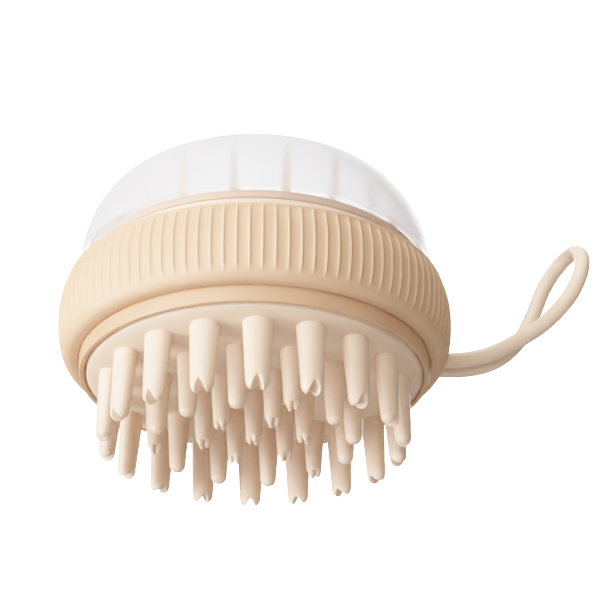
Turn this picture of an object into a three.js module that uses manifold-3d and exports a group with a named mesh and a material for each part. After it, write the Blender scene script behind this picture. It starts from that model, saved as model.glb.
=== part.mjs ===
// Scalp massager brush: a hand-sized round brush with silicone bristles under a fluted grip ring,
// a frosted dome for the palm and a silicone hanging loop.
// Millimetres. +Z points up through the dome; the origin is on the axis, on the plane of the
// bristle tips. The hanging loop leaves the body on the +X side.

import * as THREE from 'three';
import { mergeVertices } from 'three/addons/utils/BufferGeometryUtils.js';
import Module from 'manifold-3d';

const wasm = await Module();
wasm.setup();

// ---- driving dimensions -------------------------------------------------------------------------

const GAP = 0.3; // clearance between neighbouring pieces

const PAD_FACE_Z = 15.2; // underside of the silicone disc at its edge
const PAD_BULGE = 2.5; // how far the disc's middle stands below its edge
const PAD_RADIUS = 33.8;
const PAD_THICKNESS = 1.8;
const PAD_WALL = 1.5; // the rim that wraps the backing plate
const PAD_LIP = 1.0; // the lip that hooks over the backing plate
const PAD_LIP_REACH = 4.3;

const PLATE_RIM = 1.0; // thickness of the backing plate where the pad's lip holds it
const PLATE_RAISE = 1.5; // extra thickness of its middle

const BEZEL_INNER = PAD_RADIUS + GAP;
const BEZEL_FOOT = 35.1; // outer radius at the lower edge
const BEZEL_OUTER = 35.3; // outer radius where it meets the grip ring
const BEZEL_FLANGE = 1.2;
const BEZEL_FLANGE_REACH = 5.1;

const RING_RADIUS = 40; // widest radius of the grip ring
const RING_WIDEST_Z = 27.6;
const RING_BOTTOM_Z = 18.25;
const RING_TOP_Z = 34.25;
const RING_SHOULDER = 38.8; // radius at the start of the rounded upper corner
const RING_CORNER = 0.65;
const RING_ROUND_POWER = 0.83; // power of the superellipse of the lower round-over
const RING_BORE = 37;

const BODY_OUTER = RING_BORE - GAP;
const BODY_INNER = 34.3;
const BODY_FLOOR_Z = 27.7;
const BODY_FLOOR = 1.9;
const NECK_OUTER = 35;
const NECK_INNER = 32;
const NECK_TOP_Z = 39.3;

const SEAL_OUTER = 34.9;
const SEAL_THICKNESS = 1;
const SEAL_LOW_Z = 37.5;
const SEAL_HEIGHT = 1.7;

const DOME_RADIUS = 36.6;
const DOME_WALL = 1.2;
const DOME_SPRING_Z = 32.15; // height where the dome starts to curve inwards
const DOME_RISE = 28; // from there to the crown
const DOME_RISE_POWER = 2.95; // the two powers of the dome's superellipse
const DOME_RADIUS_POWER = 3.957;
const DOME_CROWN_FLAT = 9; // radius of the flat on the crown

const POST_COUNT = 18;
const POST_CIRCLE = 29.4;
const POST_TOP_Z = 52.6;
const POST_FOOT_WIDTH = 2.4;
const POST_TOP_WIDTH = 1.2;
const POST_DEPTH_SHARE = 0.62; // radial depth over width
const SLEEVE_INNER = 28.5;
const SLEEVE_OUTER = 30.2;
const SLEEVE_TOP_Z = 39;

const SCREW_COUNT = 3;
const SCREW_CIRCLE = 24;
const SCREW_TOP_Z = 26;
const SHANK_RADIUS = 1;
const HEAD_RADIUS = 2.2;
const HEAD_HEIGHT = 1.2;
const BOSS_RADIUS = 3;

const PATTERN_TURN = THREE.MathUtils.degToRad(-7.2); // angle of the whole bristle pattern

const LOOP_DIAMETER = 3.3;
const LOOP_SIDES = 8;
const LOOP_STEPS = 60;
const LOOP_EXIT_TURN = THREE.MathUtils.degToRad(13); // where the loop leaves the ring
const SLOT_WIDTH = 8.2;
const SLOT_LOW_Z = 21.2;
const SLOT_HIGH_Z = 25.4;
const SLOT_START = 30; // the slot's cutter runs from this radius outwards
const SLOT_REACH = 14;
const ANCHOR_INNER = 30.6;
const ANCHOR_OUTER = BODY_INNER - GAP;
const ANCHOR_LOW_Z = 21.4;
const ANCHOR_HEIGHT = 5.2;
const ANCHOR_HALF_ANGLE = THREE.MathUtils.degToRad(11);

// Centre line of the loop: from the anchor out through the slot, round the eye and back in
// beside itself.
const LOOP_ROUTE = [
  [33.8, 5.9, 23.4], [36.6, 6.6, 23.3], [40.2, 7.2, 23.4], [44.4, 7.5, 23.9],
  [48.6, 7.7, 25.1], [52.4, 7.6, 26.9], [56.0, 7.0, 28.8], [59.4, 5.8, 30.7],
  [62.6, 4.3, 33.2], [65.6, 3.2, 36.6], [67.9, 3.4, 41.1], [69.2, 5.4, 45.6],
  [69.6, 9.4, 50.0], [69.0, 14.0, 52.8], [67.2, 17.8, 52.7], [64.8, 19.2, 50.0],
  [62.5, 18.2, 45.8], [60.6, 16.4, 41.1], [58.8, 14.4, 36.6], [57.0, 13.0, 32.8],
  [54.6, 12.1, 29.2], [51.5, 11.7, 26.2], [47.7, 11.4, 24.2], [43.6, 11.2, 23.3],
  [39.4, 10.9, 23.1], [35.9, 10.2, 23.2], [33.0, 9.5, 23.4],
];

// ---- derived heights ----------------------------------------------------------------------------

const PAD_BACK_Z = PAD_FACE_Z + PAD_THICKNESS;
const PLATE_Z = PAD_BACK_Z + GAP;
const PLATE_RADIUS = PAD_RADIUS - PAD_WALL - GAP;
const LIP_Z = PLATE_Z + PLATE_RIM + GAP;
const LIP_TOP_Z = LIP_Z + PAD_LIP;
const FLANGE_Z = LIP_TOP_Z + GAP;
const FLANGE_TOP_Z = FLANGE_Z + BEZEL_FLANGE;
const BODY_LOW_Z = FLANGE_TOP_Z + GAP;
const SHOULDER_Z = BODY_FLOOR_Z + BODY_FLOOR;
const PLATE_TOP_Z = PLATE_Z + PLATE_RIM + PLATE_RAISE;

// ---- materials ----------------------------------------------------------------------------------

const silicone = new THREE.MeshStandardMaterial({ color: 0xead6c6, roughness: 0.55, metalness: 0 });
const tan = new THREE.MeshStandardMaterial({ color: 0xe2c9ab, roughness: 0.6, metalness: 0 });
const pale = new THREE.MeshStandardMaterial({ color: 0xeedfd0, roughness: 0.5, metalness: 0 });
const frosted = new THREE.MeshStandardMaterial({
  color: 0xf2f1ef, roughness: 0.35, metalness: 0, transparent: true, opacity: 0.55,
});
const steel = new THREE.MeshStandardMaterial({ color: 0xc8c9cc, roughness: 0.3, metalness: 1 });

// ---- helpers ------------------------------------------------------------------------------------

// The geometry with its shared corners merged and its flat triangles dropped.
function weld(geometry) {
  const bare = geometry.clone();
  for (const name of Object.keys(bare.attributes)) {
    if (name !== 'position') bare.deleteAttribute(name);
  }
  const merged = mergeVertices(bare, 1e-4);
  const corners = merged.getIndex().array;
  const kept = [];
  for (let i = 0; i < corners.length; i += 3) {
    const [a, b, c] = [corners[i], corners[i + 1], corners[i + 2]];
    if (a !== b && b !== c && c !== a) kept.push(a, b, c);
  }
  merged.setIndex(kept);
  return merged;
}

function solid(geometry) {
  const { attributes, index } = weld(geometry);
  return new wasm.Manifold(new wasm.Mesh({
    numProp: 3,
    vertProperties: new Float32Array(attributes.position.array),
    triVerts: new Uint32Array(index.array),
  }));
}

function surface(body) {
  const { vertProperties, triVerts } = body.getMesh();
  const geometry = new THREE.BufferGeometry();
  geometry.setAttribute('position', new THREE.BufferAttribute(vertProperties, 3));
  geometry.setIndex(new THREE.BufferAttribute(triVerts, 1));
  geometry.computeVertexNormals();
  return geometry;
}

// A solid of revolution about Z. The outline lists [radius, z] upwards along the outside first.
function turned(outline, sides) {
  const points = outline.map(([radius, z]) => new THREE.Vector2(radius, z));
  return weld(new THREE.LatheGeometry(points, sides).rotateX(Math.PI / 2));
}

// A ring of rectangular section.
function band(inner, outer, low, high, sides) {
  return turned([[inner, low], [outer, low], [outer, high], [inner, high], [inner, low]], sides);
}

function cylinder(radius, low, high, sides) {
  const geometry = new THREE.CylinderGeometry(radius, radius, high - low, sides);
  return geometry.rotateX(Math.PI / 2).translate(0, 0, (low + high) / 2);
}

// The geometry moved out along X to a radius, then turned about Z.
function placed(geometry, radius, turn) {
  return geometry.clone().translate(radius, 0, 0).rotateZ(turn);
}

function turnOf(step, count) {
  return PATTERN_TURN + (step / count) * 2 * Math.PI;
}

const part = new THREE.Group();

function add(name, geometry, material) {
  const mesh = new THREE.Mesh(geometry, material.clone());
  mesh.name = name;
  part.add(mesh);
}

// ---- bristle pad: one silicone moulding ---------------------------------------------------------

const BRISTLE_ROOT = 1; // how far a bristle's solid reaches into the disc

// Each circle of bristles: how many, where, how thick, and where their tips end.
const FORKED = { count: 18, circle: 28.9, root: 3.05, tip: 2.2, tipZ: 0, sides: 8 };
const SECOND = { count: 12, circle: 19.9, root: 2.5, tip: 1.65, tipZ: 0.6, sides: 8 };
const THIRD = { count: 6, circle: 10.1, root: 2.4, tip: 1.5, tipZ: 1.45, sides: 8 };
const MIDDLE = { count: 1, circle: 0, root: 2.4, tip: 1.5, tipZ: 1.75, sides: 8 };
const FORKED_LEAN = THREE.MathUtils.degToRad(3);
const FORKED_FLATNESS = 0.76; // thickness outwards as a share of the width
const FORKED_START = THREE.MathUtils.degToRad(-80);
const SECOND_START = THREE.MathUtils.degToRad(29.8);
const SECOND_NUBBED_EVERY = 4; // every fourth bristle of the second circle ends in nubs
const SECOND_NUBBED_TIP_Z = 0.85;
const NOTCH_DEPTH = 1.7;
const NOTCH_HALF_WIDTH = 1.3; // at the tips
const NUB_COUNT = 3;
const NUB_LENGTH = 1.3;
const NUB_CIRCLE = 0.8;
const NUB_RADIUS = 0.6;

// A tapered bristle hanging from the plane z = 0. Its end is rounded over the tip's radius, or
// has a flat of the given share of that radius.
function shaft({ root, tip, sides }, length, flatShare = 0) {
  return turned([
    [0, -length], [flatShare * tip, -length], [Math.max(0.75, flatShare) * tip, 0.3 * tip - length],
    [tip, tip - length], [root, 0], [root, BRISTLE_ROOT], [0, BRISTLE_ROOT],
  ], sides);
}

function forkedBristle() {
  const notch = new THREE.Shape([
    new THREE.Vector2(0, NOTCH_DEPTH),
    new THREE.Vector2(-2 * NOTCH_HALF_WIDTH, -NOTCH_DEPTH),
    new THREE.Vector2(2 * NOTCH_HALF_WIDTH, -NOTCH_DEPTH),
  ]);
  const reach = 4 * FORKED.tip;
  const wedge = new THREE.ExtrudeGeometry(notch, { depth: reach, bevelEnabled: false });
  wedge.translate(0, 0, -reach / 2).rotateX(Math.PI / 2).rotateZ(Math.PI / 2);
  const length = PAD_FACE_Z / Math.cos(FORKED_LEAN);
  wedge.translate(0, 0, -length);
  const flatShare = NOTCH_HALF_WIDTH / FORKED.tip;
  const whole = solid(shaft(FORKED, length, flatShare)).subtract(solid(wedge));
  const leaning = surface(whole).scale(FORKED_FLATNESS, 1, 1).rotateY(-FORKED_LEAN);
  leaning.computeBoundingBox();
  return leaning.translate(0, 0, -PAD_FACE_Z - leaning.boundingBox.min.z);
}

function roundBristle(circle) {
  return shaft(circle, PAD_FACE_Z - circle.tipZ);
}

function nubbedBristle(circle) {
  const length = PAD_FACE_Z - circle.tipZ;
  let whole = solid(shaft(circle, length - NUB_LENGTH * 0.6));
  const nub = new THREE.CylinderGeometry(NUB_RADIUS, 0.5 * NUB_RADIUS, 2 * NUB_LENGTH, 5);
  nub.rotateX(Math.PI / 2).translate(0, 0, NUB_LENGTH - length);
  for (let i = 0; i < NUB_COUNT; i++) {
    whole = whole.add(solid(placed(nub, NUB_CIRCLE, (i / NUB_COUNT) * 2 * Math.PI)));
  }
  return surface(whole);
}

function bristlePad() {
  const wallInner = PAD_RADIUS - PAD_WALL;
  const lipInner = PAD_RADIUS - PAD_LIP_REACH;
  const edge = PAD_RADIUS - GAP;
  const face = [0, 0.3, 0.55, 0.72, 0.84, 0.92, 0.965, 0.99, 1].map((share) => [
    share * edge, PAD_FACE_Z - PAD_BULGE * (1 - share ** 4) ** (2 / 3),
  ]);
  let pad = solid(turned([
    ...face, [PAD_RADIUS, PAD_FACE_Z + GAP],
    [PAD_RADIUS, LIP_TOP_Z], [lipInner, LIP_TOP_Z], [lipInner, LIP_Z], [wallInner, LIP_Z],
    [wallInner, PAD_BACK_Z], [0, PAD_BACK_Z],
  ], 48));
  const plant = (bristle, circle, turn) => {
    const standing = placed(bristle, circle.circle, turn).translate(0, 0, PAD_FACE_Z);
    pad = pad.add(solid(standing));
  };
  const forked = forkedBristle();
  for (let i = 0; i < FORKED.count; i++) {
    plant(forked, FORKED, PATTERN_TURN + FORKED_START + (i / FORKED.count) * 2 * Math.PI);
  }
  const round = roundBristle(SECOND);
  const nubbed = nubbedBristle({ ...SECOND, tipZ: SECOND_NUBBED_TIP_Z });
  for (let i = 0; i < SECOND.count; i++) {
    const turn = PATTERN_TURN + SECOND_START + (i / SECOND.count) * 2 * Math.PI;
    plant(i % SECOND_NUBBED_EVERY === 1 ? nubbed : round, SECOND, turn);
  }
  for (let i = 0; i < THIRD.count; i++) {
    plant(nubbedBristle(THIRD), THIRD, turnOf(i, THIRD.count));
  }
  plant(nubbedBristle(MIDDLE), MIDDLE, PATTERN_TURN);
  return surface(pad);
}

// ---- pieces of the body, from the bristles upwards ----------------------------------------------

// A box along the loop's exit direction, for the slot through the body's wall and the ring.
function slotCutter() {
  const cutter = new THREE.BoxGeometry(SLOT_REACH, SLOT_WIDTH, SLOT_HIGH_Z - SLOT_LOW_Z);
  cutter.translate(0, 0, (SLOT_LOW_Z + SLOT_HIGH_Z) / 2);
  return solid(placed(cutter, SLOT_START + SLOT_REACH / 2, LOOP_EXIT_TURN));
}

function screwTurn(i) {
  return LOOP_EXIT_TURN + Math.PI / SCREW_COUNT + (i / SCREW_COUNT) * 2 * Math.PI;
}

function backingPlate() {
  const raised = PLATE_RADIUS - PAD_LIP_REACH + PAD_WALL;
  let plate = solid(turned([
    [0, PLATE_Z], [PLATE_RADIUS, PLATE_Z], [PLATE_RADIUS, PLATE_Z + PLATE_RIM],
    [raised, PLATE_Z + PLATE_RIM], [raised, PLATE_TOP_Z], [0, PLATE_TOP_Z],
  ], 48));
  const headPocket = cylinder(HEAD_RADIUS + GAP, PLATE_Z - 1, PLATE_Z + HEAD_HEIGHT + GAP, 16);
  const shankHole = cylinder(SHANK_RADIUS + GAP, PLATE_Z, PLATE_TOP_Z + 1, 12);
  for (let i = 0; i < SCREW_COUNT; i++) {
    plate = plate.subtract(solid(placed(headPocket, SCREW_CIRCLE, screwTurn(i))));
    plate = plate.subtract(solid(placed(shankHole, SCREW_CIRCLE, screwTurn(i))));
  }
  return surface(plate);
}

function bezelRing() {
  const edge = 0.15;
  const flangeInner = BEZEL_OUTER - BEZEL_FLANGE_REACH;
  return turned([
    [BEZEL_INNER + edge, PAD_FACE_Z], [BEZEL_FOOT - edge, PAD_FACE_Z],
    [BEZEL_FOOT, PAD_FACE_Z + edge], [BEZEL_OUTER, RING_BOTTOM_Z], [BEZEL_OUTER, FLANGE_TOP_Z],
    [flangeInner, FLANGE_TOP_Z], [flangeInner, FLANGE_Z], [BEZEL_INNER, FLANGE_Z],
    [BEZEL_INNER, PAD_FACE_Z + edge], [BEZEL_INNER + edge, PAD_FACE_Z],
  ], 48);
}

function gripRing() {
  const footInner = BEZEL_OUTER + GAP;
  const foot = new THREE.Vector2(footInner + 0.9, RING_BOTTOM_Z);
  const outline = [[footInner, RING_BOTTOM_Z + 0.75]];
  const roundSteps = 6;
  for (let step = 0; step <= roundSteps; step++) {
    const angle = (step / roundSteps) * (Math.PI / 2);
    outline.push([
      foot.x + (RING_RADIUS - foot.x) * Math.sin(angle) ** RING_ROUND_POWER,
      RING_WIDEST_Z - (RING_WIDEST_Z - foot.y) * Math.cos(angle) ** RING_ROUND_POWER,
    ]);
  }
  const sideSteps = 3;
  const sideHeight = RING_TOP_Z - RING_CORNER - RING_WIDEST_Z;
  for (let step = 1; step <= sideSteps; step++) {
    const share = step / sideSteps;
    outline.push([
      RING_RADIUS - (RING_RADIUS - RING_SHOULDER) * share ** 2,
      RING_WIDEST_Z + sideHeight * share,
    ]);
  }
  outline.push([RING_SHOULDER - 0.3 * RING_CORNER, RING_TOP_Z - 0.3 * RING_CORNER]);
  outline.push([RING_SHOULDER - RING_CORNER, RING_TOP_Z]);
  outline.push([RING_BORE, RING_TOP_Z], [RING_BORE, FLANGE_TOP_Z], [footInner, FLANGE_TOP_Z],
    outline[0]);
  return surface(solid(turned(outline, 56)).subtract(slotCutter()));
}

function coreBody() {
  let body = solid(turned([
    [BODY_INNER, BODY_LOW_Z], [BODY_OUTER, BODY_LOW_Z], [BODY_OUTER, SHOULDER_Z],
    [NECK_OUTER, SHOULDER_Z], [NECK_OUTER, SEAL_LOW_Z - GAP],
    [SEAL_OUTER - SEAL_THICKNESS - GAP, SEAL_LOW_Z - GAP],
    [SEAL_OUTER - SEAL_THICKNESS - GAP, NECK_TOP_Z], [NECK_INNER, NECK_TOP_Z],
    [NECK_INNER, SHOULDER_Z], [0, SHOULDER_Z], [0, BODY_FLOOR_Z], [BODY_INNER, BODY_FLOOR_Z],
    [BODY_INNER, BODY_LOW_Z],
  ], 48));
  const boss = cylinder(BOSS_RADIUS, PLATE_TOP_Z + GAP, BODY_FLOOR_Z + 1, 16);
  const pilot = cylinder(SHANK_RADIUS + GAP, PLATE_TOP_Z, SCREW_TOP_Z + GAP, 12);
  for (let i = 0; i < SCREW_COUNT; i++) {
    body = body.add(solid(placed(boss, SCREW_CIRCLE, screwTurn(i))));
    body = body.subtract(solid(placed(pilot, SCREW_CIRCLE, screwTurn(i))));
  }
  return surface(body.subtract(slotCutter()));
}

// A pan-head screw, put in from below.
function screw() {
  const headTop = PLATE_Z + HEAD_HEIGHT;
  return turned([
    [0, PLATE_Z + 0.1], [0.8 * HEAD_RADIUS, PLATE_Z + 0.1], [HEAD_RADIUS, PLATE_Z + 0.5],
    [HEAD_RADIUS, headTop], [SHANK_RADIUS, headTop], [SHANK_RADIUS, SCREW_TOP_Z - 1],
    [0, SCREW_TOP_Z],
  ], 12);
}

// ---- support crown: a sleeve with a circle of posts that hold up the dome ------------------------

function supportCrown() {
  const foot = SHOULDER_Z + GAP;
  let crown = solid(turned([
    [SLEEVE_INNER, foot], [NECK_INNER - GAP, foot], [NECK_INNER - GAP, foot + 1.2],
    [SLEEVE_OUTER, foot + 1.2], [SLEEVE_OUTER, SLEEVE_TOP_Z], [SLEEVE_INNER, SLEEVE_TOP_Z],
    [SLEEVE_INNER, foot],
  ], 54));
  const height = POST_TOP_Z - SLEEVE_TOP_Z + 1;
  const post = new THREE.CylinderGeometry(POST_TOP_WIDTH / 2, POST_FOOT_WIDTH / 2, height, 8);
  post.rotateX(Math.PI / 2).scale(POST_DEPTH_SHARE, 1, 1);
  post.translate(0, 0, POST_TOP_Z - height / 2);
  for (let i = 0; i < POST_COUNT; i++) {
    crown = crown.add(solid(placed(post, POST_CIRCLE, turnOf(i + 0.5, POST_COUNT))));
  }
  return surface(crown);
}

// ---- dome ----------------------------------------------------------------------------------------

// Radius of a dome of the given size at a share of its rise.
function domeRadius(radius, share) {
  return radius * (1 - share ** DOME_RISE_POWER) ** (1 / DOME_RADIUS_POWER);
}

function domeCover() {
  const steps = 7;
  const inner = DOME_RADIUS - DOME_WALL;
  const foot = SHOULDER_Z + GAP;
  const shares = [...Array(steps).keys()].map((i) => Math.sin((i / steps) * (Math.PI / 2)));
  const outside = shares.map((share) => [
    domeRadius(DOME_RADIUS, share), DOME_SPRING_Z + share * DOME_RISE]);
  const inside = shares.map((share) => [
    domeRadius(inner, share), DOME_SPRING_Z + share * (DOME_RISE - DOME_WALL)]);
  return turned([
    [inner, foot], [DOME_RADIUS, foot], ...outside,
    [DOME_CROWN_FLAT, DOME_SPRING_Z + DOME_RISE], [0, DOME_SPRING_Z + DOME_RISE],
    [0, DOME_SPRING_Z + DOME_RISE - DOME_WALL],
    [DOME_CROWN_FLAT, DOME_SPRING_Z + DOME_RISE - DOME_WALL], ...inside.reverse(),
    [inner, foot],
  ], 48);
}

// ---- hanging loop --------------------------------------------------------------------------------

// The moulded block that both ends of the loop run into, behind the body's wall.
function loopAnchor() {
  const outline = new THREE.Shape();
  outline.absarc(0, 0, ANCHOR_OUTER, -ANCHOR_HALF_ANGLE, ANCHOR_HALF_ANGLE, false);
  outline.absarc(0, 0, ANCHOR_INNER, ANCHOR_HALF_ANGLE, -ANCHOR_HALF_ANGLE, true);
  const block = new THREE.ExtrudeGeometry(outline, {
    depth: ANCHOR_HEIGHT, bevelEnabled: false, curveSegments: 6,
  });
  return weld(block.translate(0, 0, ANCHOR_LOW_Z).rotateZ(LOOP_EXIT_TURN));
}

function hangingLoop() {
  const route = new THREE.CatmullRomCurve3(LOOP_ROUTE.map((point) => new THREE.Vector3(...point)));
  const section = new THREE.Shape();
  for (let i = 0; i < LOOP_SIDES; i++) {
    const angle = (i / LOOP_SIDES) * 2 * Math.PI;
    const [x, y] = [Math.cos(angle), Math.sin(angle)].map((v) => (v * LOOP_DIAMETER) / 2);
    if (i === 0) section.moveTo(x, y);
    else section.lineTo(x, y);
  }
  section.closePath();
  return weld(new THREE.ExtrudeGeometry(section, { steps: LOOP_STEPS, extrudePath: route }));
}

add('bristle_pad', bristlePad(), silicone);
add('pad_backing_plate', backingPlate(), pale);
add('bezel_ring', bezelRing(), tan);
add('grip_ring', gripRing(), tan);
add('core_body', coreBody(), pale);
for (let i = 0; i < SCREW_COUNT; i++) {
  add(`body_screw_${i + 1}`, placed(screw(), SCREW_CIRCLE, screwTurn(i)), steel);
}
add('neck_seal', band(SEAL_OUTER - SEAL_THICKNESS, SEAL_OUTER, SEAL_LOW_Z,
  SEAL_LOW_Z + SEAL_HEIGHT, 48), tan);
add('support_crown', supportCrown(), pale);
add('dome_cover', domeCover(), frosted);
add('loop_anchor', loopAnchor(), silicone);
add('hanging_loop', hangingLoop(), silicone);

export default part;
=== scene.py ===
import math

import bpy
import numpy as np
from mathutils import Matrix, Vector


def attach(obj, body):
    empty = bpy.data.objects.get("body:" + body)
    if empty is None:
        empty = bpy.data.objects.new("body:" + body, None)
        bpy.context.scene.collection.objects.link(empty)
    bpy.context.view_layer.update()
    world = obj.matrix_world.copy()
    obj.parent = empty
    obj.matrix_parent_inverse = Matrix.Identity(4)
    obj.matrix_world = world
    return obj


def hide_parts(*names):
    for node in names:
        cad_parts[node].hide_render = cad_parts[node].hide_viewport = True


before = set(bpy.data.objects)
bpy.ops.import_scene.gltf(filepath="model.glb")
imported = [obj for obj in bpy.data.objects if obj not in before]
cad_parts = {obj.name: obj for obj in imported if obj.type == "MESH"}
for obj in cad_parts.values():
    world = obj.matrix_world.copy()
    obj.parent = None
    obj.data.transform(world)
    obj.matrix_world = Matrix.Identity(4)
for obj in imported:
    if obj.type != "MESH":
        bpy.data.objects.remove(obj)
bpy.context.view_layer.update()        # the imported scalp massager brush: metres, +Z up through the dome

scene = bpy.context.scene

MM = 0.001
TURN = 2 * math.pi

# ---- tone curve ----------------------------------------------------------------------------------

SHOULDER_WHITE = 6.0  # the light that comes out as full white

scene.view_settings.view_transform = "Standard"
# A soft shoulder, 1 - exp(-light), as in the photograph's bright, unclipped highlights.
scene.view_settings.use_curve_mapping = True
shoulder = scene.view_settings.curve_mapping
shoulder.white_level = (SHOULDER_WHITE, SHOULDER_WHITE, SHOULDER_WHITE)
shoulder.extend = "HORIZONTAL"
combined = shoulder.curves[3]
for share in (0.02, 0.05, 0.09, 0.14, 0.21, 0.3, 0.42, 0.6, 0.8):
    combined.points.new(share, 1 - math.exp(-SHOULDER_WHITE * share))
combined.points[-1].location = (1, 1)
shoulder.update()

# ---- camera --------------------------------------------------------------------------------------

CAMERA_PLACE = (0.00917, -0.3031, -0.1265)
CAMERA_ELEVATION = math.radians(27.88)  # how far it looks up
CAMERA_LENS = 99.62

camera = bpy.data.objects.new("camera", bpy.data.cameras.new("camera"))
camera.location = CAMERA_PLACE
camera.rotation_euler = (math.radians(90) + CAMERA_ELEVATION, 0, 0)
camera.data.sensor_width = 36
camera.data.lens = CAMERA_LENS
camera.data.clip_start = 0.01
scene.collection.objects.link(camera)
scene.camera = camera

# ---- sizes in millimetres, as in the CAD source --------------------------------------------------

GAP = 0.3  # clearance between pieces
PAD_FACE = 15.2  # height of the pad's edge over the outer bristles' tips
PAD_BULGE = 2.5  # how far the disc's middle stands below its edge
PAD_RADIUS = 33.8
PAD_BACK = 17.0
PAD_WALL_INNER = 32.3
PAD_LIP_INNER = 29.5
PAD_LIP_LOW, PAD_LIP_HIGH = 18.6, 19.6
BEZEL_INNER = PAD_RADIUS + GAP
BEZEL_FOOT = 35.1
BEZEL_OUTER = 35.3
FLANGE_INNER = 30.2
FLANGE_LOW, FLANGE_HIGH = 19.9, 21.1
RING_RADIUS = 40.0
RING_WIDEST = 27.6  # the height of the ring's widest place
RING_BOTTOM = 18.25
RING_TOP = 34.25
RING_SHOULDER = 38.8  # the radius where its top corner starts
RING_CORNER = 0.65
RING_BORE = 37.0
BODY_OUTER, BODY_INNER = 36.7, 34.3
BODY_LOW = 21.4
BODY_FLOOR = 27.7
SHOULDER = 29.6  # the top of the body's floor, from which the neck stands
NECK_OUTER, NECK_INNER = 35.0, 32.0
NECK_STEP, NECK_TOP = 37.2, 39.3
NECK_LIP = 33.6  # the radius of the lip that the seal sits round
SEAL_INNER, SEAL_OUTER = 33.9, 34.9
SEAL_LOW, SEAL_HIGH = 37.5, 39.2
SLEEVE_INNER, SLEEVE_OUTER, SLEEVE_FOOT = 28.5, 30.2, 31.7
SLEEVE_LOW, SLEEVE_STEP, SLEEVE_HIGH = 29.9, 31.1, 39.0
POSTS = 18
POST_CIRCLE = 29.4
POST_ROOT, POST_TIP = 1.2, 0.6
POST_LOW, POST_RISE, POST_TOP = 38.0, 14.0, 52.6
POST_FLATNESS = 0.62  # thickness outwards as a share of the width
DOME_RADIUS = 36.6
DOME_WALL = 1.2
DOME_SPRING = 32.15
DOME_RISE = 28.0
DOME_FOOT = 29.9
DOME_UP_POWER, DOME_OUT_POWER = 2.95, 3.957  # of the superellipse that is the dome's outline
LOOP_DIAMETER = 3.3
LOOP_TURN = math.radians(13)
PATTERN_TURN = math.radians(-7.2)

# ---- materials -----------------------------------------------------------------------------------


def srgb(red, green, blue):
    """A colour given as 0-255 sRGB, as the shader's linear values."""
    def linear(value):
        value /= 255
        return value / 12.92 if value <= 0.04045 else ((value + 0.055) / 1.055) ** 2.4
    return (linear(red), linear(green), linear(blue), 1.0)


class Surface:
    """A procedural material: two mottled tones, a noise on its roughness and two grains of bump."""

    def __init__(self, name, roughness, **sockets):
        self.material = bpy.data.materials.new(name)
        self.material.use_nodes = True
        self.tree = self.material.node_tree
        self.shader = self.tree.nodes["Principled BSDF"]
        self.place = self.tree.nodes.new("ShaderNodeTexCoord").outputs["Object"]
        self.height = None
        self.roughness = roughness
        for socket, value in sockets.items():
            self.shader.inputs[socket.replace("_", " ")].default_value = value

    def node(self, kind, **settings):
        made = self.tree.nodes.new("ShaderNode" + kind)
        for key, value in settings.items():
            setattr(made, key, value)
        return made

    def link(self, source, target):
        self.tree.links.new(source, target)

    def noise(self, size, detail=2.0):
        """Noise with features of about that many millimetres."""
        made = self.node("TexNoise")
        made.inputs["Scale"].default_value = 1 / (size * MM)
        made.inputs["Detail"].default_value = detail
        self.link(self.place, made.inputs["Vector"])
        return made.outputs["Fac"]

    def range(self, source, low, high, to_low, to_high):
        made = self.node("MapRange")
        for socket, value in (("From Min", low), ("From Max", high),
                              ("To Min", to_low), ("To Max", to_high)):
            made.inputs[socket].default_value = value
        self.link(source, made.inputs["Value"])
        return made.outputs["Result"]

    def colours(self, factor, first, second):
        """Sets the base colour to a blend of two."""
        made = self.node("Mix", data_type="RGBA")
        self.link(factor, made.inputs["Factor"])
        for socket, value in (("A", first), ("B", second)):
            slot = next(s for s in made.inputs if s.name == socket and s.type == "RGBA")
            slot.default_value = value
        blend = next(s for s in made.outputs if s.type == "RGBA")
        self.link(blend, self.shader.inputs["Base Color"])

    def bump(self, source, strength, depth):
        """Adds a bump of that many millimetres."""
        made = self.node("Bump")
        made.inputs["Strength"].default_value = strength
        made.inputs["Distance"].default_value = depth * MM
        self.link(source, made.inputs["Height"])
        if self.height is not None:
            self.link(self.height, made.inputs["Normal"])
        self.height = made.outputs["Normal"]

    def frost(self, tone, glow, clear_to, frosted_from, clear_share, frosted_share):
        """Mixes in light that glows through in that tone, and light that passes straight through.
        The latter has one share up to a height and another share above a second height."""
        split = self.node("SeparateXYZ")
        self.link(self.place, split.inputs[0])
        through = self.node("BsdfTranslucent")
        through.inputs["Color"].default_value = tone
        glowing = self.node("MixShader")
        glowing.inputs[0].default_value = glow
        self.link(self.shader.outputs[0], glowing.inputs[1])
        self.link(through.outputs[0], glowing.inputs[2])
        mixed = self.node("MixShader")
        fade = self.range(split.outputs["Z"], clear_to * MM, frosted_from * MM,
                          clear_share, frosted_share)
        self.link(fade, mixed.inputs[0])
        self.link(glowing.outputs[0], mixed.inputs[1])
        self.link(self.node("BsdfTransparent").outputs[0], mixed.inputs[2])
        self.link(mixed.outputs[0], self.tree.nodes["Material Output"].inputs["Surface"])

    def finish(self, spread=0.06):
        """The material, once its roughness varies by that much and its bumps are joined."""
        low, high = self.roughness - spread, self.roughness + spread
        self.link(self.range(self.noise(4), 0.3, 0.7, low, high), self.shader.inputs["Roughness"])
        self.link(self.height, self.shader.inputs["Normal"])
        return self.material


def mottled(name, tone, other, roughness, size=9, grain=0.35, depth=0.02, **sockets):
    """A surface of two tones in patches of that size, with a fine grain over a coarser one."""
    made = Surface(name, roughness, **sockets)
    made.colours(made.range(made.noise(size, 3), 0.35, 0.65, 0, 1), tone, other)
    made.bump(made.noise(grain, 2), 0.35, depth)
    made.bump(made.noise(2.4, 1), 0.15, 3 * depth)
    return made


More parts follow.
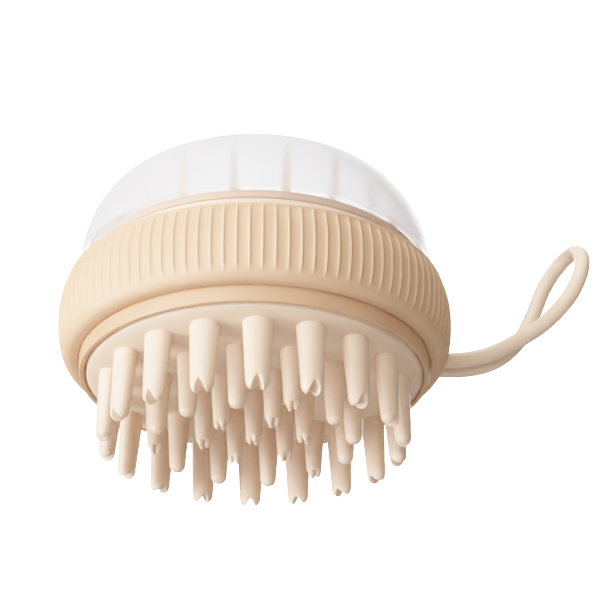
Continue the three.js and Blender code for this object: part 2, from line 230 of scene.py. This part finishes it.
def soft(weight, scale):
    """Sockets of light that scatters under the surface, to that many millimetres."""
    return {
        "Subsurface_Weight": weight,
        "Subsurface_Radius": (1.0, 0.62, 0.4),
        "Subsurface_Scale": scale * MM,
    }


silicone = mottled("bristle_silicone", srgb(224, 196, 170), srgb(221, 191, 164), 0.48,
                   **soft(0.15, 1.2)).finish()
rubber = mottled("tan_rubber", srgb(206, 166, 131), srgb(202, 161, 126), 0.55,
                 **soft(0.08, 0.8)).finish()
tan = mottled("tan_plastic", srgb(196, 154, 119), srgb(192, 150, 114), 0.42,
              **soft(0.08, 0.8)).finish()
inner = mottled("inner_plastic", srgb(246, 212, 181), srgb(243, 207, 175), 0.5,
                **soft(0.1, 1.0)).finish()
crown = mottled("crown_plastic", srgb(255, 192, 150), srgb(253, 188, 144), 0.5,
                **soft(0.9, 4.0)).finish()
FROSTED = srgb(247, 251, 255)
frosted_dome = mottled("frosted_plastic", FROSTED, srgb(245, 249, 253), 0.36, grain=0.25,
                       depth=0.008, Transmission_Weight=0.7, IOR=1.15)
frosted_dome.frost(FROSTED, 0.3, 38.2, 39.4, 0.8, 0.1)
frosted = frosted_dome.finish()
steel = mottled("screw_steel", srgb(200, 201, 204), srgb(186, 188, 192), 0.32, grain=0.15,
                Metallic=1.0).finish()

# ---- mesh helpers --------------------------------------------------------------------------------


def piece(name, points, faces, material, body="body", crease=35):
    """A mesh object of points in millimetres, smooth except where it bends by more than crease."""
    mesh = bpy.data.meshes.new(name)
    mesh.from_pydata((np.asarray(points, float) * MM).tolist(), [], faces)
    mesh.shade_smooth()
    mesh.set_sharp_from_angle(angle=math.radians(crease))
    mesh.materials.append(material)
    made = bpy.data.objects.new(name, mesh)
    scene.collection.objects.link(made)
    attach(made, body)
    return made


def grid_faces(rows, columns, closed_rows=False):
    """Quads of a grid of points, closed round its columns and, if asked, round its rows."""
    faces = []
    for row in range(rows if closed_rows else rows - 1):
        below, above = row * columns, ((row + 1) % rows) * columns
        for column in range(columns):
            beside = (column + 1) % columns
            faces.append((below + column, below + beside, above + beside, above + column))
    return faces


def turned(outline, sides):
    """Points and faces of a solid of revolution about Z. The outline of (radius, z) goes upwards
    along its outside, and starts and ends on the axis or closes on itself."""
    on_axis = outline[0][0] == 0
    if on_axis:
        low, high, outline = outline[0][1], outline[-1][1], outline[1:-1]
    angles = np.arange(sides) / sides * TURN
    radius, z = np.array(outline, float).T
    points = np.stack([np.outer(radius, np.cos(angles)), np.outer(radius, np.sin(angles)),
                       np.repeat(z[:, None], sides, 1)], -1).reshape(-1, 3)
    faces = grid_faces(len(outline), sides, closed_rows=not on_axis)
    if on_axis:
        first, last = len(points), len(points) - sides
        points = np.concatenate([points, [[0, 0, low], [0, 0, high]]])
        for side in range(sides):
            beside = (side + 1) % sides
            faces.append((first, beside, side))
            faces.append((first + 1, last + side, last + beside))
    return points, faces


def rounded(outline, radius, steps=5):
    """A closed outline with its corners rounded. The radius is one number or one per corner."""
    count = len(outline)
    radii = [radius] * count if isinstance(radius, (int, float)) else radius
    made = []
    for index, corner in enumerate(outline):
        if not radii[index]:
            made.append(tuple(corner))
            continue
        corner = np.array(corner, float)
        before = np.array(outline[index - 1], float) - corner
        after = np.array(outline[(index + 1) % count], float) - corner
        reach = [min(radii[index], 0.45 * np.linalg.norm(side)) for side in (before, after)]
        start = corner + before / np.linalg.norm(before) * reach[0]
        end = corner + after / np.linalg.norm(after) * reach[1]
        for step in range(steps + 1):
            share = step / steps
            made.append(tuple((1 - share) ** 2 * start + 2 * share * (1 - share) * corner
                              + share ** 2 * end))
    return made


def placed(points, radius, turn, height=0.0):
    """The points moved out along X to a radius, turned about Z and lifted."""
    points = np.asarray(points, float) + [radius, 0, height]
    c, s = math.cos(turn), math.sin(turn)
    return points @ np.array([[c, s, 0], [-s, c, 0], [0, 0, 1]])


def cut_or_join(target, points, faces, how):
    """The target's mesh with another closed mesh joined to it or cut from it."""
    mesh = bpy.data.meshes.new("tool")
    mesh.from_pydata((np.asarray(points, float) * MM).tolist(), [], faces)
    tool = bpy.data.objects.new("tool", mesh)
    scene.collection.objects.link(tool)
    modifier = target.modifiers.new("join", "BOOLEAN")
    modifier.operation, modifier.solver, modifier.object = how, "MANIFOLD", tool
    result = bpy.data.meshes.new_from_object(
        target.evaluated_get(bpy.context.evaluated_depsgraph_get()))
    target.modifiers.clear()
    name, old = target.data.name, target.data
    target.data = result
    bpy.data.meshes.remove(old)
    result.name = name
    bpy.data.objects.remove(tool)
    bpy.data.meshes.remove(mesh)


def resmooth(target, crease):
    target.data.shade_smooth()
    target.data.set_sharp_from_angle(angle=math.radians(crease))


def together(parts):
    """Several sets of points and faces as one."""
    points, faces, count = [], [], 0
    for some_points, some_faces in parts:
        points.append(np.asarray(some_points, float))
        faces += [tuple(corner + count for corner in face) for face in some_faces]
        count += len(some_points)
    return np.concatenate(points), faces


# ---- hanging loop --------------------------------------------------------------------------------

LOOP_ROUTE = [
    (0.0338, 0.0059, 0.0234), (0.0366, 0.0066, 0.0233), (0.0402, 0.0072, 0.0234),
    (0.0444, 0.0075, 0.0239), (0.0486, 0.0077, 0.0251), (0.0524, 0.0076, 0.0269),
    (0.0560, 0.0070, 0.0288), (0.0594, 0.0058, 0.0307), (0.0626, 0.0043, 0.0332),
    (0.0656, 0.0032, 0.0366), (0.0679, 0.0034, 0.0411), (0.0692, 0.0054, 0.0456),
    (0.0696, 0.0094, 0.0500), (0.0690, 0.0140, 0.0528), (0.0672, 0.0178, 0.0527),
    (0.0648, 0.0192, 0.0500), (0.0625, 0.0182, 0.0458), (0.0606, 0.0164, 0.0411),
    (0.0588, 0.0144, 0.0366), (0.0570, 0.0130, 0.0328), (0.0546, 0.0121, 0.0292),
    (0.0515, 0.0117, 0.0262), (0.0477, 0.0114, 0.0242), (0.0436, 0.0112, 0.0233),
    (0.0394, 0.0109, 0.0231), (0.0359, 0.0102, 0.0232), (0.0330, 0.0095, 0.0234),
]
LOOP_STEPS = 12  # rings of the tube for each stretch of the route
LOOP_SIDES = 32


def smooth_line(route, steps):
    """Points on the centripetal Catmull-Rom curve through the route."""
    route = np.array(route, float)
    route = np.concatenate([[2 * route[0] - route[1]], route, [2 * route[-1] - route[-2]]])
    line = []
    for p0, p1, p2, p3 in zip(route, route[1:], route[2:], route[3:]):
        d0, d1, d2 = (np.linalg.norm(b - a) ** 0.5 for a, b in ((p0, p1), (p1, p2), (p2, p3)))
        leave = ((p1 - p0) / d0 - (p2 - p0) / (d0 + d1) + (p2 - p1) / d1) * d1
        arrive = ((p2 - p1) / d1 - (p3 - p1) / (d1 + d2) + (p3 - p2) / d2) * d1
        for t in np.arange(steps) / steps:
            line.append((2 * t**3 - 3 * t**2 + 1) * p1 + (t**3 - 2 * t**2 + t) * leave
                        + (3 * t**2 - 2 * t**3) * p2 + (t**3 - t**2) * arrive)
    return np.array(line + [route[-2]])


def tube(line, radius, sides):
    """Points and faces of a closed tube along a line, without twist."""
    ahead = np.gradient(line, axis=0)
    ahead /= np.linalg.norm(ahead, axis=1)[:, None]
    across = np.cross(ahead[0], (0, 0, 1))
    points = []
    for centre, forward in zip(line, ahead):
        across = across - forward * (across @ forward)
        across /= np.linalg.norm(across)
        up = np.cross(across, forward)
        for angle in np.arange(sides) / sides * TURN:
            points.append(centre + radius * (math.cos(angle) * across + math.sin(angle) * up))
    faces = [face[::-1] for face in grid_faces(len(line), sides)]
    faces.append(tuple(range(sides)))
    faces.append(tuple(range(len(points) - 1, len(points) - 1 - sides, -1)))
    return np.array(points), faces


loop_line = smooth_line(LOOP_ROUTE, LOOP_STEPS)
loop_points, loop_faces = tube(loop_line / MM, LOOP_DIAMETER / 2, LOOP_SIDES)
loop = piece("hanging_loop_soft", loop_points, loop_faces, silicone)
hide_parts("hanging_loop")

# ---- bristle pad ---------------------------------------------------------------------------------

BRISTLE_SIDES = 48
CAP_RINGS = 16  # rings of a bristle's end
SIDE_RINGS = 8  # rings of its straight side
NUB_TURNS = [math.radians(angle) for angle in (60, 180, 300)]
NUB_CIRCLE = 0.78
NUB_RADIUS = 0.72
NUB_LENGTH = 1.25


def smooth_min(first, second, width):
    """The smaller of two heights, with the crease between them rounded over that width."""
    blend = np.clip(0.5 + 0.5 * (second - first) / width, 0, 1)
    return second * (1 - blend) + first * blend - width * blend * (1 - blend)


def smooth_max(first, second, width):
    return -smooth_min(-first, -second, width)


def round_end(x, y, tip):
    """Height over the lowest point of a round end of that radius."""
    share = np.clip(np.hypot(x, y) / tip, 0, 1)
    return tip * (1 - np.sqrt(np.maximum(1 - share**2.4, 0)))


def forked_end(x, y, tip):
    """A long round end with a groove along X, deeper outwards, which leaves two prongs. The
    groove's edge is rounded where it runs out through the sides."""
    share = np.clip(np.hypot(x, y) / tip, 0, 1)
    groove = 1.8 + 0.25 * x - 1.75 * np.abs(y) ** 1.6 + 0.4 * share**10
    return smooth_max(groove, 0.85 * tip * (1 - np.sqrt(1 - share**2.6)), 0.9)


def nubbed_end(x, y, tip):
    """Three short rounded nubs that continue the bristle's sides."""
    share = np.clip(np.hypot(x, y) / tip, 0, 1)
    nubs = []
    for turn in NUB_TURNS:
        away = np.hypot(x - NUB_CIRCLE * math.cos(turn), y - NUB_CIRCLE * math.sin(turn))
        nubs.append(NUB_LENGTH * (away / NUB_RADIUS) ** 2.6)
    height = smooth_min(smooth_min(nubs[0], nubs[1], 0.12), nubs[2], 0.12)
    return smooth_min(height, 1.2 + 0.25 * share**4, 0.2)


def bristle(root, tip, length, end=round_end, lean=0.0, flat=1.0):
    """A tapered bristle that hangs from the plane z = 0 down to -length and leans outwards, flat
    times as thick as wide. Its end is a height over its section."""
    angles = np.arange(BRISTLE_SIDES) / BRISTLE_SIDES * TURN
    section = np.stack([np.cos(angles), np.sin(angles)])
    base = -length / math.cos(lean)
    x, y = (np.outer(tip * np.sin(np.arange(1, CAP_RINGS + 1) / CAP_RINGS * math.pi / 2), wave)
            for wave in section)
    rows = list(np.stack([x, y, end(x, y, tip) + base], -1))
    rim = rows[-1][:, 2]
    for share in np.arange(1, SIDE_RINGS + 1) / SIDE_RINGS:
        x, y = (tip + (root - tip) * share) * section
        rows.append(np.stack([x, y, rim * (1 - share)], -1))
    middle = float(end(np.zeros(1), np.zeros(1), tip)[0]) + base
    points = np.concatenate(rows + [[[0, 0, middle], [0, 0, 0]]]) * [flat, 1, 1]
    c, s = math.cos(lean), math.sin(lean)
    points = points @ np.array([[c, 0, -s], [0, 1, 0], [s, 0, c]]).T
    points[:, 2] -= points[:, 2].min() + length
    faces = grid_faces(len(rows), BRISTLE_SIDES)
    count = len(rows) * BRISTLE_SIDES
    for index in range(BRISTLE_SIDES):
        beside = (index + 1) % BRISTLE_SIDES
        faces.append((count, beside, index))
        faces.append((count + 1, count - BRISTLE_SIDES + index, count - BRISTLE_SIDES + beside))
    return points, faces


# Each circle of bristles: how many, on what radius, the first one's angle, and its shapes in turn.
forked = bristle(3.0, 2.25, PAD_FACE, forked_end, lean=math.radians(3), flat=0.76)
second_round = bristle(2.5, 1.65, PAD_FACE - 0.6)
second_nubbed = bristle(2.5, 1.5, PAD_FACE - 0.85, nubbed_end)
third = bristle(2.4, 1.5, PAD_FACE - 1.45, nubbed_end)
middle = bristle(2.4, 1.5, PAD_FACE - 1.75, nubbed_end)
CIRCLES = (
    (18, 28.9, -80, [forked]),
    (12, 19.9, 29.8, [second_round, second_nubbed, second_round, second_round]),
    (6, 10.1, 0, [third]),
    (1, 0.0, 0, [middle]),
)

pad_outline = [((PAD_RADIUS - GAP) * share, PAD_FACE - PAD_BULGE * (1 - share**4) ** (2 / 3))
               for share in np.sin(np.linspace(0, math.pi / 2, 30))]
pad_outline += [
    (PAD_RADIUS, PAD_FACE + 0.4), (PAD_RADIUS, PAD_FACE + 1.0), (PAD_RADIUS - 0.2, PAD_FACE + 1.2),
    (PAD_RADIUS - 0.2, PAD_LIP_HIGH), (PAD_LIP_INNER, PAD_LIP_HIGH), (PAD_LIP_INNER, PAD_LIP_LOW),
    (PAD_WALL_INNER, PAD_LIP_LOW), (PAD_WALL_INNER, PAD_BACK), (0, PAD_BACK),
]
pad_points, pad_faces = turned(pad_outline, 192)
pad = piece("bristle_pad_soft", pad_points, pad_faces, silicone, crease=30)
bristles = []
for count, radius, start, shapes in CIRCLES:
    for index in range(count):
        points, faces = shapes[index % len(shapes)]
        turn = PATTERN_TURN + math.radians(start) + index / count * TURN
        bristles.append((placed(points, radius, turn, PAD_FACE), faces))
cut_or_join(pad, *together(bristles), "UNION")
resmooth(pad, 30)
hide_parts("bristle_pad")

# ---- bezel ring ----------------------------------------------------------------------------------

BEZEL_LIP = 0.25  # how far the bezel's lip reaches in, over the groove between it and the pad

lip_radius = BEZEL_INNER - BEZEL_LIP
bezel_corners = [
    (BEZEL_INNER, PAD_FACE), (BEZEL_FOOT, PAD_FACE), (BEZEL_OUTER, RING_BOTTOM),
    (BEZEL_OUTER, FLANGE_HIGH), (FLANGE_INNER, FLANGE_HIGH), (FLANGE_INNER, FLANGE_LOW),
    (BEZEL_INNER, FLANGE_LOW), (BEZEL_INNER, PAD_FACE + 1.2), (lip_radius, PAD_FACE + 0.9),
    (lip_radius, PAD_FACE + 0.7), (BEZEL_INNER, PAD_FACE + 0.6),
]
bezel_outline = rounded(bezel_corners, [0.25, 0.3, 0, 0.1, 0.2, 0.2, 0.1, 0, 0, 0, 0])
bezel_points, bezel_faces = turned(bezel_outline, 256)
bezel = piece("bezel_ring_fine", bezel_points, bezel_faces, tan, crease=40)
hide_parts("bezel_ring")

# ---- grip ring -----------------------------------------------------------------------------------

FLUTES = 103
# The places of a flute's points, as shares of its width.
FLUTE_AT = np.array([0.0, 0.05, 0.11, 0.19, 0.32, 0.5, 0.68, 0.81, 0.89, 0.95])
FLUTE_DEPTH = 0.3
FLUTE_FLATNESS = 3.6
FLUTE_TURN = math.radians(-90)
FLUTE_STARTS, FLUTE_IS_FULL = 19.2, 21.4  # the heights between which a flute deepens
FLUTE_FADES, FLUTE_ENDS = 32.9, 33.6  # and between which it runs out again
SLOT_WIDTH, SLOT_LOW, SLOT_HIGH = 8.2, 21.2, 25.4
SLOT_CORNER = 1.9
SLOT_FROM, SLOT_TO = 30.0, 44.0  # the cutting bar's ends, as radii
RING_FOOT = 36.5  # the radius where the lower round-over starts
ROUND_POWER = 0.83  # its sharpness: 1 would be an ellipse
RING_INNER = 35.36  # the radius of the ring's foot, just off the bezel


def ring_outline():
    """The ring's outline, from its foot up round the outside and down the bore."""
    outline = [
        (RING_INNER, RING_BOTTOM + 0.75), (RING_INNER, RING_BOTTOM + 0.2),
        (RING_INNER + 0.06, RING_BOTTOM + 0.08), (RING_INNER + 0.24, RING_BOTTOM),
        (RING_INNER + 0.64, RING_BOTTOM),
    ]
    out, up = RING_RADIUS - RING_FOOT, RING_WIDEST - RING_BOTTOM
    for angle in np.linspace(0, math.pi / 2, 25):
        outline.append((RING_FOOT + out * max(math.sin(angle), 0) ** ROUND_POWER,
                        RING_WIDEST - up * max(math.cos(angle), 0) ** ROUND_POWER))
    height = RING_TOP - RING_CORNER - RING_WIDEST
    for share in np.linspace(0, 1, 15)[1:]:
        outline.append((RING_RADIUS - (RING_RADIUS - RING_SHOULDER) * share**2,
                        RING_WIDEST + height * share))
    for angle in np.linspace(0, math.pi / 2, 7)[1:]:
        outline.append((RING_SHOULDER - RING_CORNER * (1 - math.cos(angle)),
                        RING_TOP - RING_CORNER * (1 - math.sin(angle))))
    return outline + [(RING_BORE + 0.3, RING_TOP), (RING_BORE, RING_TOP - 0.3),
                      (RING_BORE, FLANGE_HIGH), (RING_INNER, FLANGE_HIGH)]


def smooth_step(low, high, value):
    share = np.clip((value - low) / (high - low), 0, 1)
    return share * share * (3 - 2 * share)


ring_line = np.array(ring_outline())
ring_sides = FLUTES * len(FLUTE_AT)
flute_places = (np.arange(FLUTES)[:, None] + FLUTE_AT).ravel()
ring_angles = FLUTE_TURN + flute_places / FLUTES * TURN
scallop = np.tile(1 - np.abs(2 * FLUTE_AT - 1) ** FLUTE_FLATNESS, FLUTES)
ring_rows = []
for radius, z in ring_line:
    depth = 0.0
    if radius > RING_BORE + 0.9:
        depth = FLUTE_DEPTH * smooth_step(FLUTE_STARTS, FLUTE_IS_FULL, z)
        depth *= 1 - smooth_step(FLUTE_FADES, FLUTE_ENDS, z)
    radii = radius - depth * scallop
    ring_rows.append(np.stack([radii * np.cos(ring_angles), radii * np.sin(ring_angles),
                               0 * ring_angles + z], -1))
ring = piece("grip_ring_fluted", np.concatenate(ring_rows),
             grid_faces(len(ring_rows), ring_sides, closed_rows=True), rubber)


def slot_tool():
    """A round-cornered bar along the loop's exit direction."""
    half, low, high = SLOT_WIDTH / 2, SLOT_LOW, SLOT_HIGH
    outline = rounded([(-half, low), (half, low), (half, high), (-half, high)], SLOT_CORNER, 8)
    near = [(SLOT_FROM, y, z) for y, z in outline]
    far = [(SLOT_TO, y, z) for y, z in outline]
    count = len(outline)
    faces = [face[::-1] for face in grid_faces(2, count)]
    faces.append(tuple(range(count)))
    faces.append(tuple(range(2 * count - 1, count - 1, -1)))
    return placed(near + far, 0, LOOP_TURN), faces


slot_points, slot_faces = slot_tool()
cut_or_join(ring, slot_points, slot_faces, "DIFFERENCE")
resmooth(ring, 35)
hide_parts("grip_ring")

# ---- body with its neck --------------------------------------------------------------------------

body_corners = [
    (BODY_INNER, BODY_LOW), (BODY_OUTER, BODY_LOW), (BODY_OUTER, SHOULDER),
    (NECK_OUTER, SHOULDER), (NECK_OUTER, NECK_STEP), (NECK_LIP, NECK_STEP),
    (NECK_LIP, NECK_TOP), (NECK_INNER, NECK_TOP), (NECK_INNER, SHOULDER),
    (0.02, SHOULDER), (0.02, BODY_FLOOR), (BODY_INNER, BODY_FLOOR),
]
body_outline = rounded(body_corners, [0.2, 0.2, 0.3, 0, 0.3, 0, 0.3, 0.3, 0.2, 0, 0, 0])
body_points, body_faces = turned(body_outline, 192)
core = piece("core_body_fine", body_points, body_faces, inner)
cut_or_join(core, slot_points, slot_faces, "DIFFERENCE")
resmooth(core, 35)
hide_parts("core_body")

# ---- neck seal -----------------------------------------------------------------------------------

seal_outline = rounded([(SEAL_INNER, SEAL_LOW), (SEAL_OUTER, SEAL_LOW), (SEAL_OUTER, SEAL_HIGH),
                        (SEAL_INNER, SEAL_HIGH)], 0.3)
seal_points, seal_faces = turned(seal_outline, 192)
seal = piece("neck_seal_fine", seal_points, seal_faces, rubber)
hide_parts("neck_seal")

# ---- support crown -------------------------------------------------------------------------------

sleeve_outline = rounded([
    (SLEEVE_INNER, SLEEVE_LOW), (SLEEVE_FOOT, SLEEVE_LOW), (SLEEVE_FOOT, SLEEVE_STEP),
    (SLEEVE_OUTER, SLEEVE_STEP), (SLEEVE_OUTER, SLEEVE_HIGH), (SLEEVE_INNER, SLEEVE_HIGH),
], [0, 0, 0.2, 0.2, 0.3, 0.3])
sleeve_points, sleeve_faces = turned(sleeve_outline, 180)
posts = piece("support_crown_fine", sleeve_points, sleeve_faces, crown)
post_outline = [(0, POST_LOW)]
post_outline += [(POST_ROOT + (POST_TIP - POST_ROOT) * share, POST_LOW + POST_RISE * share)
                 for share in (0, 0.25, 0.5, 0.75, 1)]
post_outline += [(POST_TIP - 0.1, POST_TOP - 0.3), (POST_TIP / 2, POST_TOP - 0.08), (0, POST_TOP)]
post_points, post_faces = turned(post_outline, 24)
post_points = post_points * [POST_FLATNESS, 1, 1]
post_places = [PATTERN_TURN + (index + 0.5) / POSTS * TURN for index in range(POSTS)]
cut_or_join(posts, *together([(placed(post_points, POST_CIRCLE, turn), post_faces)
                              for turn in post_places]), "UNION")
resmooth(posts, 35)
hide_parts("support_crown")

# ---- dome ----------------------------------------------------------------------------------------


def dome_line(radius, rise):
    """Points up one side of the dome, from its spring line to the axis."""
    line = []
    for share in np.sin(np.linspace(0, math.pi / 2, 48)):
        r = radius * max(1 - share**DOME_UP_POWER, 0) ** (1 / DOME_OUT_POWER)
        line.append((r, DOME_SPRING + share * rise))
    return line


outside = dome_line(DOME_RADIUS, DOME_RISE)
inside = dome_line(DOME_RADIUS - DOME_WALL, DOME_RISE - DOME_WALL)
inner_radius = DOME_RADIUS - DOME_WALL
dome_outline = [(0, outside[-1][1])] + [(r, z) for r, z in outside[::-1] if r > 0.4]
dome_outline += [
    (DOME_RADIUS, DOME_FOOT + 1.1), (DOME_RADIUS, DOME_FOOT + 0.2), (DOME_RADIUS - 0.2, DOME_FOOT),
    (inner_radius + 0.2, DOME_FOOT), (inner_radius, DOME_FOOT + 0.2),
    (inner_radius, DOME_FOOT + 1.1),
]
dome_outline += [(r, z) for r, z in inside if r > 0.4] + [(0, inside[-1][1])]
dome_points, dome_faces = turned(dome_outline, 256)
dome = piece("dome_cover_frosted", dome_points, [face[::-1] for face in dome_faces], frosted,
             body="dome")
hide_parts("dome_cover")

# ---- carried-over CAD nodes ----------------------------------------------------------------------

for node, material in (("pad_backing_plate", inner), ("loop_anchor", silicone),
                       ("body_screw_1", steel), ("body_screw_2", steel), ("body_screw_3", steel)):
    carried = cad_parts[node]
    carried.data.materials.clear()
    carried.data.materials.append(material)

# ---- light and floor -----------------------------------------------------------------------------


def area_light(name, place, aim, size, power, colour=(1, 1, 1)):
    data = bpy.data.lights.new(name, "AREA")
    data.size, data.energy, data.color = size, power, colour
    made = bpy.data.objects.new(name, data)
    made.location = place
    made.rotation_euler = (Vector(aim) - Vector(place)).to_track_quat("-Z", "Y").to_euler()
    scene.collection.objects.link(made)


CENTRE = (0, 0, 0.03)
area_light("key", (-0.55, -0.45, 0.45), CENTRE, 0.5, 1.5)
area_light("side", (-0.6, -0.5, -0.05), CENTRE, 0.25, 4.4, (0.95, 0.94, 0.97))
area_light("low", (-0.72, -0.22, -0.22), CENTRE, 0.2, 7.0, (0.93, 0.92, 0.95))
area_light("right", (0.6, -0.45, 0.1), CENTRE, 0.5, 1.0, (1, 0.87, 0.72))
area_light("top", (0, -0.1, 0.8), CENTRE, 0.6, 7.9)
area_light("back", (0.12, 0.6, 0.4), CENTRE, 0.4, 13)

world = bpy.data.worlds.new("studio")
world.use_nodes = True
scene.world = world
nodes, links = world.node_tree.nodes, world.node_tree.links


def lobe(towards, colour, strength, power):
    """Background light that comes mostly from one direction."""
    direction = nodes.new("ShaderNodeTexCoord").outputs["Generated"]
    facing = nodes.new("ShaderNodeVectorMath")
    facing.operation = "DOT_PRODUCT"
    facing.inputs[1].default_value = Vector(towards).normalized()
    links.new(direction, facing.inputs[0])
    half = nodes.new("ShaderNodeMapRange")
    half.inputs["From Min"].default_value = -1
    links.new(facing.outputs["Value"], half.inputs["Value"])
    sharper = nodes.new("ShaderNodeMath")
    sharper.operation = "POWER"
    sharper.inputs[1].default_value = power
    links.new(half.outputs["Result"], sharper.inputs[0])
    scaled = nodes.new("ShaderNodeMath")
    scaled.operation = "MULTIPLY"
    scaled.inputs[1].default_value = strength
    links.new(sharper.outputs[0], scaled.inputs[0])
    shine = nodes.new("ShaderNodeBackground")
    shine.inputs["Color"].default_value = (*colour, 1)
    links.new(scaled.outputs[0], shine.inputs["Strength"])
    return shine.outputs[0]


def added(first, second):
    both = nodes.new("ShaderNodeAddShader")
    links.new(first, both.inputs[0])
    links.new(second, both.inputs[1])
    return both.outputs[0]


around = lobe((1, 0.8, 0.4), (1, 0.88, 0.76), 0.4, 4)
for towards, colour, strength, power in (
        ((-0.7, -0.5, -1), (0.85, 0.89, 1), 86, 12),
        ((-0.5, -1, -0.15), (1, 0.93, 0.86), 7.4, 12)):
    around = added(around, lobe(towards, colour, strength, power))
backdrop = nodes.new("ShaderNodeBackground")
backdrop.inputs["Color"].default_value = (1, 1, 1, 1)
backdrop.inputs["Strength"].default_value = 2 * SHOULDER_WHITE
path = nodes.new("ShaderNodeLightPath")
shown = nodes.new("ShaderNodeMixShader")
links.new(path.outputs["Is Camera Ray"], shown.inputs[0])
links.new(around, shown.inputs[1])
links.new(backdrop.outputs[0], shown.inputs[2])
links.new(shown.outputs[0], nodes["World Output"].inputs["Surface"])

floor_mesh = bpy.data.meshes.new("floor")
floor_mesh.from_pydata([(-3, -3, -0.5), (3, -3, -0.5), (3, 3, -0.5), (-3, 3, -0.5)], [],
                       [(0, 1, 2, 3)])
floor_paint = mottled("floor_paint", srgb(192, 191, 189), srgb(190, 189, 187), 0.8, size=300,
                      grain=4)
floor_mesh.materials.append(floor_paint.finish())
floor = bpy.data.objects.new("floor", floor_mesh)
scene.collection.objects.link(floor)
